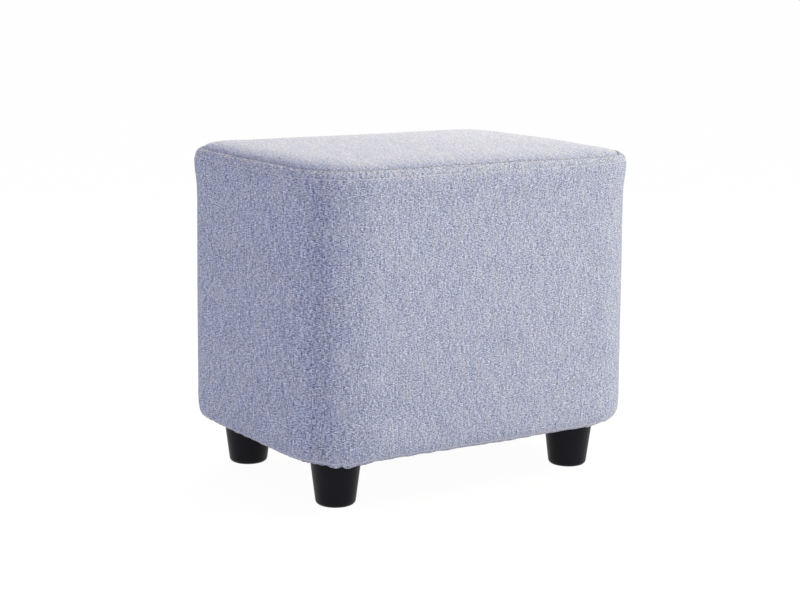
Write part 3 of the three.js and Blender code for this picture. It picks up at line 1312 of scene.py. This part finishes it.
@dataclass
class Topstitching:
    """A row of lockstitches laid along a line on the cloth by a node tree.

    least and most are the limits of the stitches' scales, which vary from one to the next.
    """

    pitch: float = 4.0 * MM
    stitch_length: float = 2.9 * MM
    thread_radius: float = 0.38 * MM
    arch: float = 0.32 * MM
    raised: float = 0.3 * MM
    arch_steps: int = 7
    thread_sides: int = 8
    least: tuple[float, float, float] = (0.9, 0.9, 0.9)
    most: tuple[float, float, float] = (1.06, 1.12, 1.1)
    seed: int = 7

    def _sizes(self) -> Sizes:
        """Return the tree's inputs."""
        return {
            "Pitch": self.pitch,
            "Stitch Length": self.stitch_length,
            "Thread Radius": self.thread_radius,
            "Arch": self.arch,
            "Seed": self.seed,
        }

    def _tree(self, material: bpy.types.Material) -> bpy.types.NodeTree:
        """Build the tree that lays stitches along a line.

        Args:
            material: The thread's material.

        Returns:
            The tree.
        """
        nodes, given = start_tree("lay_stitches", "Line", self._sizes(), "Stitches")
        half = nodes.amount(given, "Stitch Length") * 0.5
        low = nodes.amount(given, "Arch") * -1.0
        bow = nodes.add(
            "GeometryNodeCurveQuadraticBezier",
            None,
            {
                "Resolution": self.arch_steps,
                "Start": nodes.point(half * -1.0, 0.0, low),
                "Middle": nodes.point(0.0, 0.0, nodes.amount(given, "Arch")),
                "End": nodes.point(half, 0.0, low),
            },
        )
        round_thread = nodes.add(
            "GeometryNodeCurvePrimitiveCircle",
            None,
            {"Resolution": self.thread_sides, "Radius": given.outputs["Thread Radius"]},
        )
        thread = nodes.add(
            "GeometryNodeCurveToMesh",
            None,
            {"Curve": bow.outputs[0], "Profile Curve": round_thread.outputs[0], "Fill Caps": True},
        )
        line = nodes.add("GeometryNodeMeshToCurve", None, {0: given.outputs["Line"]})
        spaced = nodes.add(
            "GeometryNodeResampleCurve",
            {"mode": "LENGTH"},
            {"Curve": line.outputs[0], "Length": given.outputs["Pitch"]},
        )
        outward = nodes.add(
            "GeometryNodeInputNamedAttribute", {"data_type": "FLOAT_VECTOR"}, {"Name": "outward"}
        )
        ahead = nodes.add("GeometryNodeInputTangent")
        laid = nodes.add(
            "FunctionNodeAlignRotationToVector", {"axis": "X"}, {"Vector": ahead.outputs[0]}
        )
        turned = nodes.add(
            "FunctionNodeAlignRotationToVector",
            {"axis": "Z", "pivot_axis": "X"},
            {"Rotation": laid.outputs[0], "Vector": outward.outputs[0]},
        )
        uneven = nodes.add(
            "FunctionNodeRandomValue",
            {"data_type": "FLOAT_VECTOR"},
            {"Min": self.least, "Max": self.most, "Seed": given.outputs["Seed"]},
        )
        placed = nodes.add(
            "GeometryNodeInstanceOnPoints",
            None,
            {
                "Points": spaced.outputs[0],
                "Instance": thread.outputs[0],
                "Rotation": turned.outputs[0],
                "Scale": uneven.outputs[0],
            },
        )
        end_tree(nodes, placed.outputs[0], material)
        return nodes.tree

    def build(self, name: str, points: Array, normals: Array, thread: SpunThread) -> bpy.types.Object:
        """Lay the stitches along a closed line.

        Args:
            name: The piece's name.
            points: The line's points.
            normals: The cloth's normals there.
            thread: The thread's finish.

        Returns:
            The piece.
        """
        count = len(points)
        line = bpy.data.meshes.new(name + "_line")
        raised = points + normals * self.raised
        line.from_pydata(raised.tolist(), [(i, (i + 1) % count) for i in range(count)], [])
        outward = line.attributes.new("outward", "FLOAT_VECTOR", "POINT")
        outward.data.foreach_set("vector", normals.astype(np.float32).ravel())
        carrier = put_in_scene(name + "_line", line)
        material = thread.material()
        return grown_piece(carrier, self._tree(material), self._sizes(), name, material)


def grown_piece(
    carrier: bpy.types.Object,
    tree: bpy.types.NodeTree,
    sizes: Sizes,
    name: str,
    material: bpy.types.Material,
) -> bpy.types.Object:
    """Run a node tree on an object and keep what it makes as a plain mesh.

    Args:
        carrier: The object it runs on, which is removed.
        tree: The node tree.
        sizes: Its inputs, by name.
        name: The new piece's name.
        material: The new piece's material.

    Returns:
        The new piece.
    """
    modifier = carrier.modifiers.new("grow", "NODES")
    modifier.node_group = tree
    for item in tree.interface.items_tree:
        if item.in_out == "INPUT" and item.name in sizes:
            modifier[item.identifier] = sizes[item.name]
    graph = bpy.context.evaluated_depsgraph_get()
    mesh = bpy.data.meshes.new_from_object(carrier.evaluated_get(graph))
    mesh.name = name
    mesh.materials.clear()
    mesh.materials.append(material)
    bpy.data.objects.remove(carrier)
    return put_in_scene(name, mesh)


@dataclass
class TaperedFoot:
    """A round tapered foot with a soft lower edge, turned by a node tree."""

    height: float
    top_radius: float
    bottom_radius: float
    edge_radius: float = 4.0 * MM
    levels: int = 40
    crowding: float = 2.2
    sides: int = 96

    def _sizes(self) -> Sizes:
        """Return the tree's inputs."""
        return {
            "Height": self.height,
            "Top Radius": self.top_radius,
            "Bottom Radius": self.bottom_radius,
            "Edge Radius": self.edge_radius,
            "Levels": self.levels,
            "Sides": self.sides,
        }

    def _tree(self, material: bpy.types.Material) -> bpy.types.NodeTree:
        """Build the tree that sweeps a circle up an upright line.

        Args:
            material: The plastic's material.

        Returns:
            The tree.
        """
        nodes, given = start_tree("turn_foot", "Seat", self._sizes(), "Foot")
        height, edge = nodes.amount(given, "Height"), nodes.amount(given, "Edge Radius")
        low, high = nodes.amount(given, "Bottom Radius"), nodes.amount(given, "Top Radius")
        levels = nodes.amount(given, "Levels")
        upright = nodes.add("GeometryNodeMeshLine", None, {"Count": levels})
        level = nodes.amount(nodes.add("GeometryNodeInputIndex")) / (levels - 1)
        rising = height * level**self.crowding
        placed = nodes.add(
            "GeometryNodeSetPosition",
            None,
            {"Geometry": upright.outputs[0], "Position": nodes.point(0.0, 0.0, rising)},
        )
        line = nodes.add("GeometryNodeMeshToCurve", None, {0: placed.outputs[0]})
        position = nodes.add("GeometryNodeInputPosition").outputs[0]
        at = nodes.amount(nodes.add("ShaderNodeSeparateXYZ", None, {0: position}), 2)
        below = (1 - at / edge).kept()
        rounding = edge * (1 - (1 - below * below) ** 0.5)
        radius = low + (high - low) * at / height - rounding
        circle = nodes.add(
            "GeometryNodeCurvePrimitiveCircle",
            None,
            {"Resolution": given.outputs["Sides"], "Radius": 1.0},
        )
        body = nodes.add(
            "GeometryNodeCurveToMesh",
            None,
            {
                "Curve": line.outputs[0],
                "Profile Curve": circle.outputs[0],
                "Scale": radius,
                "Fill Caps": True,
            },
        )
        end_tree(nodes, body.outputs[0], material)
        return nodes.tree

    def build(self, name: str, x: float, y: float, material: bpy.types.Material) -> bpy.types.Object:
        """Turn one foot and stand it in its place.

        Args:
            name: The piece's name.
            x: Its place along the stool.
            y: Its place across the stool.
            material: Its material.

        Returns:
            The piece.
        """
        seat = bpy.data.meshes.new(name + "_seat")
        seat.from_pydata([(0, 0, 0)], [], [])
        carrier = put_in_scene(name + "_seat", seat)
        piece = grown_piece(carrier, self._tree(material), self._sizes(), name, material)
        piece.data.transform(Matrix.Translation((x, y, 0)))
        return piece


@dataclass
class StoolBase:
    """The board under the body and the four feet fitted to it."""

    board: str = "base_board"
    foot_bottom_radius: float = 19.6 * MM

    def dress_board(self, finish: Fibreboard) -> None:
        """Give the frame's board its finish."""
        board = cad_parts[self.board]
        board.data.materials.clear()
        board.data.materials.append(finish.material())
        log.info("%s: finished", self.board)

    def build_feet(self, finish: MouldedPlastic) -> None:
        """Build the four feet where the frame has them."""
        material = finish.material()
        for corner in CORNERS:
            node = f"foot_{corner}"
            low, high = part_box(node)
            middle = (low + high) / 2
            foot = TaperedFoot(high.z, (high.x - low.x) / 2, self.foot_bottom_radius)
            piece = foot.build(f"{corner}_foot", middle.x, middle.y, material)
            dress(piece, material, Slot.FOOT_PLASTIC, node)


# ---------------------------------------------------------------------------
# The studio
# ---------------------------------------------------------------------------


@dataclass(frozen=True)
class Softbox:
    """A square studio lamp that faces the stool."""

    name: str
    azimuth: float
    elevation: float
    distance: float
    side: float
    watts: float
    colour: Colour = (1, 1, 1)

    def place(self, target: Vector) -> None:
        """Hang the lamp round a target, azimuth 0 being straight in front."""
        lamp = bpy.data.lights.new(self.name, "AREA")
        lamp.shape = "SQUARE"
        lamp.size = self.side
        lamp.energy = self.watts
        lamp.color = self.colour
        holder = put_in_scene(self.name, lamp)
        back = direction(self.azimuth, self.elevation)
        holder.location = target + back * self.distance
        holder.rotation_mode = "QUATERNION"
        holder.rotation_quaternion = (-back).to_track_quat("-Z", "Y")


def direction(azimuth: float, elevation: float) -> Vector:
    """Return the unit vector towards an azimuth, 0 in front and 90 to the right, and an elevation."""
    a, e = math.radians(azimuth), math.radians(elevation)
    return Vector((math.sin(a) * math.cos(e), -math.cos(a) * math.cos(e), math.sin(e)))


@dataclass
class Studio:
    """A white floor and surround, soft lamps and the camera."""

    camera_azimuth: float = -32.6122
    camera_elevation: float = 10.5789
    camera_roll: float = 0.4547
    camera_distance: float = 1.91503
    camera_target: tuple[float, float, float] = (-0.00831, 0.00487, 0.17544)
    lens: float = 81.949
    floor_side: float = 60.0
    floor_paint: Colour = (0.82, 0.82, 0.82)
    floor_white: float = 1.02
    world_strength: float = 0.715
    world_colour: Colour = (0.785, 0.817, 1.0)
    shadow_share: float = 0.05
    lamps: tuple[Softbox, ...] = (
        Softbox("lamp_over", 0, 88, 1.6, 1.2, 3.2, (1.0, 0.5, 0.02)),
        Softbox("lamp_key", 40, 42, 1.8, 0.8, 18.2, (1.0, 0.95, 0.68)),
        Softbox("lamp_back", 150, 32, 1.8, 0.8, 33.8, (1.0, 0.91, 0.59)),
    )

    def build(self, middle: Vector) -> None:
        """Build the surround and hang the lamps round the stool's middle."""
        self._surround()
        self._floor()
        for lamp in self.lamps:
            lamp.place(middle)
        self._camera()
        bpy.context.scene.view_settings.view_transform = "Standard"
        log.info("studio: %d lamps", len(self.lamps))

    def _seen(self, nodes: NodeMaker) -> Amount:
        """Return 1 for rays that see the background itself or its reflection."""
        path = nodes.add("ShaderNodeLightPath")
        seen = nodes.amount(path, "Is Camera Ray")
        for ray in ("Is Glossy Ray", "Is Transmission Ray"):
            seen = nodes.maths("MAXIMUM", seen, nodes.amount(path, ray))
        return seen

    def _surround(self) -> None:
        """Make the world white to the eye and softer as a light."""
        world = bpy.data.worlds.new("white_surround")
        bpy.context.scene.world = world
        nodes = fresh_nodes(world)
        seen = self._seen(nodes)
        strength = self.world_strength + seen * (1 - self.world_strength)
        colour = nodes.mixed(seen, self.world_colour, (1.0, 1.0, 1.0))
        light = nodes.add("ShaderNodeBackground", None, {"Color": colour, "Strength": strength})
        nodes.add("ShaderNodeOutputWorld", None, {"Surface": light.outputs[0]})

    def _floor(self) -> None:
        """Lay a white floor that keeps a faint shadow."""
        half = self.floor_side / 2
        mesh = bpy.data.meshes.new("studio_floor")
        corners = [(-half, -half, 0), (half, -half, 0), (half, half, 0), (-half, half, 0)]
        mesh.from_pydata(corners, [], [(0, 1, 2, 3)])
        material = bpy.data.materials.new("white_floor")
        nodes = fresh_nodes(material)
        painted = nodes.add("ShaderNodeBsdfDiffuse", None, {"Color": (*self.floor_paint, 1.0)})
        white = nodes.add("ShaderNodeEmission", None, {"Strength": self.floor_white})
        share = self._seen(nodes) * (1 - self.shadow_share)
        both = nodes.add(
            "ShaderNodeMixShader", None, {0: share, 1: painted.outputs[0], 2: white.outputs[0]}
        )
        nodes.add("ShaderNodeOutputMaterial", None, {"Surface": both.outputs[0]})
        mesh.materials.append(material)
        put_in_scene("studio_floor", mesh)

    def _camera(self) -> None:
        """Stand the camera where it sees the front and the left side."""
        lens = bpy.data.cameras.new("camera")
        lens.lens = self.lens
        camera = put_in_scene("camera", lens)
        back = direction(self.camera_azimuth, self.camera_elevation)
        camera.location = Vector(self.camera_target) + back * self.camera_distance
        camera.rotation_mode = "QUATERNION"
        aim = (-back).to_track_quat("-Z", "Y")
        camera.rotation_quaternion = aim @ Quaternion((0, 0, 1), math.radians(self.camera_roll))
        bpy.context.scene.camera = camera


def main() -> None:
    """Build and dress the stool, then its studio."""
    logging.basicConfig(level=logging.INFO, format="%(name)s: %(message)s")
    board_low, board_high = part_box("base_board")
    board_inset = 9 * MM
    form = CoverForm(board_high.x + board_inset, board_high.y + board_inset, cad_box[1].z)
    cover = FittedCover(form, board_low.z, board_high.z)
    marks = (cover.hem_fold(), cover.crease())
    # The panel's copy of the cloth is greyer and of lower contrast than the band's, as a lit copy: it
    # paints the paler, washed-out look that light and sheen give the top.
    panel_cloth = WovenCloth(
        "linen_look_panel", contrast=0.74, greyness=0.15, drawn_grey=0, painted_seam_shade=0
    ).material(*marks)
    panel, band = cover.top_panel(), cover.side_band()
    dress(panel, panel_cloth, Slot.COVER_CLOTH, "top_panel")
    dress(band, WovenCloth().material(*marks), Slot.COVER_CLOTH, "side_band")
    stitches = Topstitching().build("cover_topstitching", *cover.stitch_line(), SpunThread())
    dress(stitches, stitches.data.materials[0], Slot.COVER_CLOTH)
    base = StoolBase()
    base.dress_board(Fibreboard())
    base.build_feet(MouldedPlastic())
    Studio().build(Vector((0, 0, cad_box[1].z / 2)))


if __name__ == "__main__":
    main()
